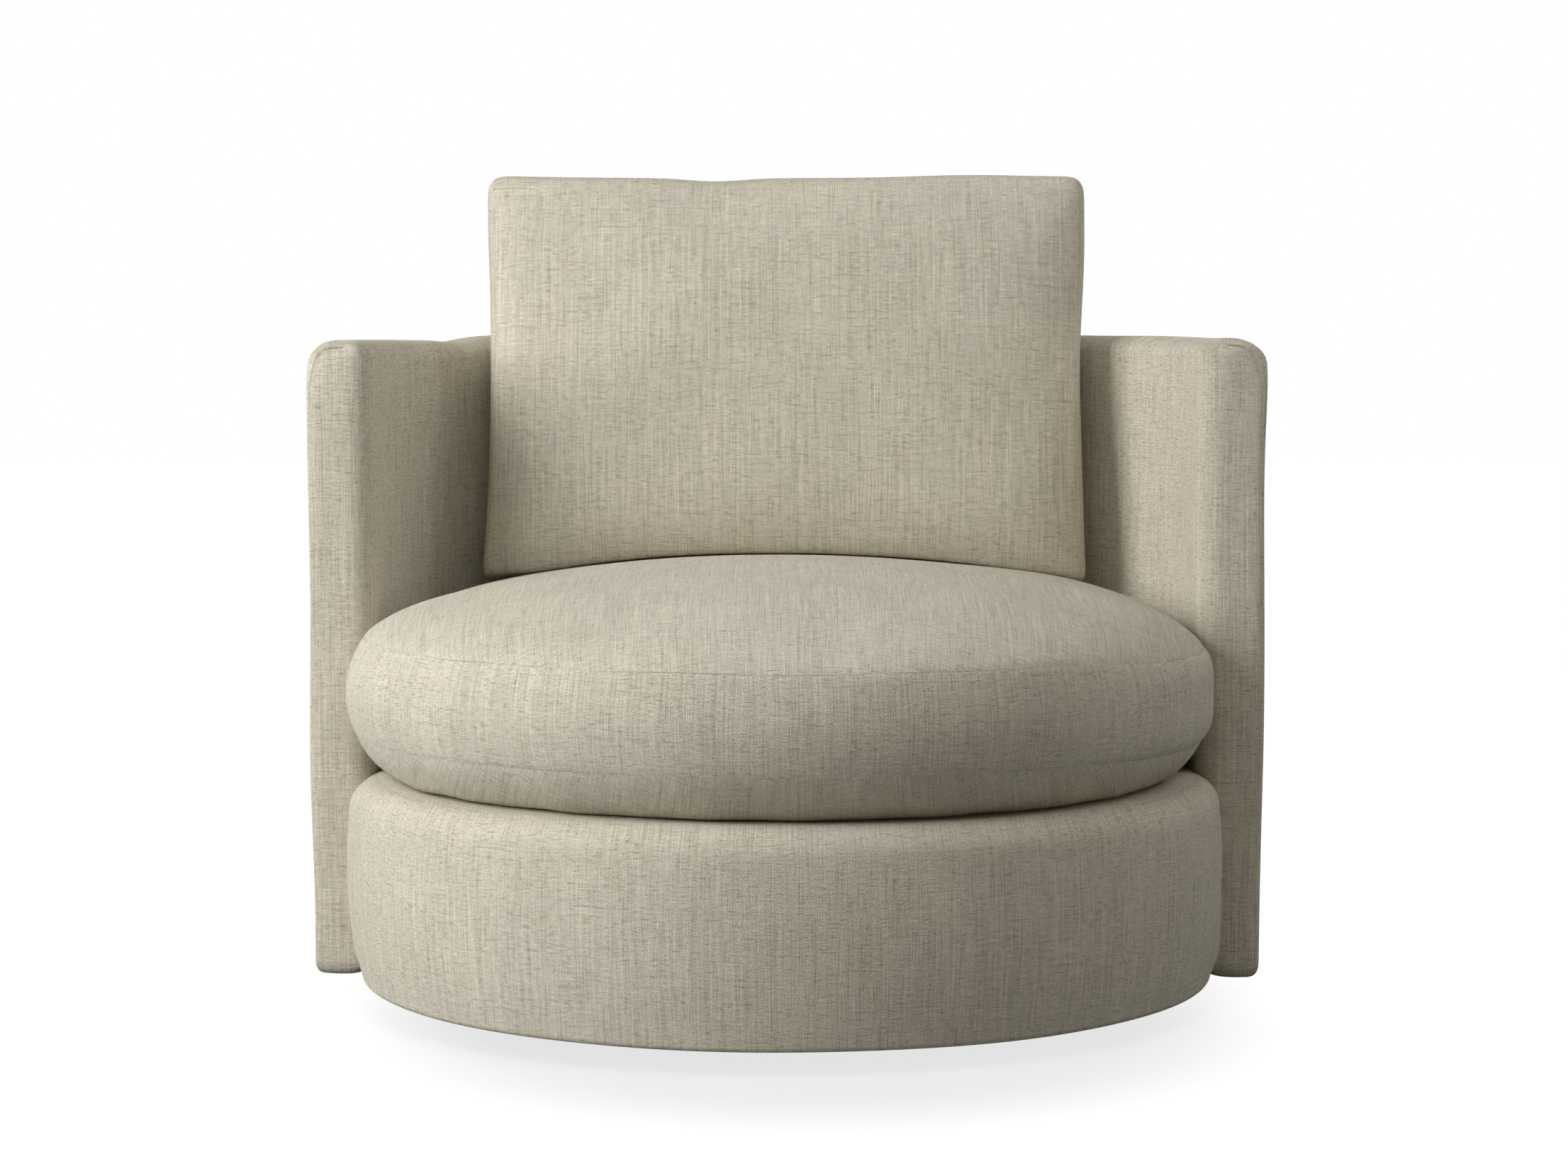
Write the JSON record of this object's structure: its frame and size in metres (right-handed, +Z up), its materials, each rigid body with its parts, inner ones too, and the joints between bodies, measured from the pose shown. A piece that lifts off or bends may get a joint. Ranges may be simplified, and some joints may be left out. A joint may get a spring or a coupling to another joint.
{
  "type": "swivel lounge chair",
  "caption": "Round upholstered tub chair with a wrap-around arm and back wall, a loose round seat cushion and a loose back cushion, swivelling on a recessed plinth.",
  "frame": {"origin": "on the floor, on the swivel axis, at the middle of the floor pad's underside", "axes": "+Z up along the swivel axis, the chair faces -Y, +X is to the right in the front view"},
  "size_m": [1.016, 0.974, 0.8784],
  "materials": {
    "linen": "pale oatmeal linen-look plain weave with slubs, matt",
    "foam": "cream upholstery foam and wadding, matt",
    "felt": "grey needled felt, matt",
    "plywood": "raw birch plywood",
    "hardwood": "planed hardwood, unfinished",
    "fibreboard": "smooth brown fibreboard",
    "zinc_steel": "zinc-plated pressed steel",
    "bearing_steel": "polished bearing steel",
    "nylon": "natural nylon, satin",
    "stained_plinth": "plywood stained black, matt",
    "cambric": "black non-woven dust cloth",
    "webbing": "dark elastic webbing"
  },
  "bodies": {
    "base": {"floor_pad": "felt", "plinth": "stained_plinth", "lower_bearing_plate": "zinc_steel", "plinth_screws": "zinc_steel", "king_pin": "zinc_steel", "king_washer": "zinc_steel", "king_nut": "zinc_steel"},
    "cage": {"ball_cage": "nylon", "bearing_balls": "bearing_steel"},
    "chair": {"upper_bearing_plate": "zinc_steel", "pivot_bush": "nylon", "plate_bolts": "zinc_steel", "tee_nuts": "zinc_steel", "swivel_board": "plywood", "board_screws": "zinc_steel", "bottom_panel": "plywood", "drum_posts": "hardwood", "shell_posts": "hardwood", "arm_posts": "hardwood", "deck_ring": "plywood", "top_rail": "plywood", "outside_panel": "fibreboard", "inside_panel": "fibreboard", "webbing_crosswise": "webbing", "webbing_lengthwise": "webbing", "deck_insulator": "felt", "deck_pad": "foam", "deck_cover": "linen", "apron_panel": "plywood", "apron_foam": "foam", "apron_cover": "linen", "top_pad": "foam", "arm_pads": "foam", "inside_foam": "foam", "outside_batting": "foam", "outside_cover": "linen", "inside_cover": "linen", "dust_cover": "cambric"},
    "seat_cushion": {"seat_cushion_core": "foam", "seat_cushion_cover": "linen"},
    "back_cushion": {"back_cushion_insert": "foam", "back_cushion_cover": "linen"}
  },
  "joints": [
    {"name": "swivel", "type": "hinge", "parent": "base", "child": "chair", "pos_m": [0, 0, 0.035], "axis": [0, 0, 1], "continuous": true},
    {"name": "ball_cage_roll", "type": "hinge", "parent": "base", "child": "cage", "pos_m": [0, 0, 0.035], "axis": [0, 0, 1], "continuous": true},
    {"name": "seat_cushion_lift", "type": "slide", "parent": "chair", "child": "seat_cushion", "axis": [0, 0, 1], "range_m": [0, 0.5]},
    {"name": "back_cushion_lift", "type": "slide", "parent": "seat_cushion", "child": "back_cushion", "axis": [0, 0, 1], "range_m": [0, 0.35]}
  ],
  "couplings": [
    {"joint": "ball_cage_roll", "follows": "swivel", "ratio": 0.5}
  ]
}
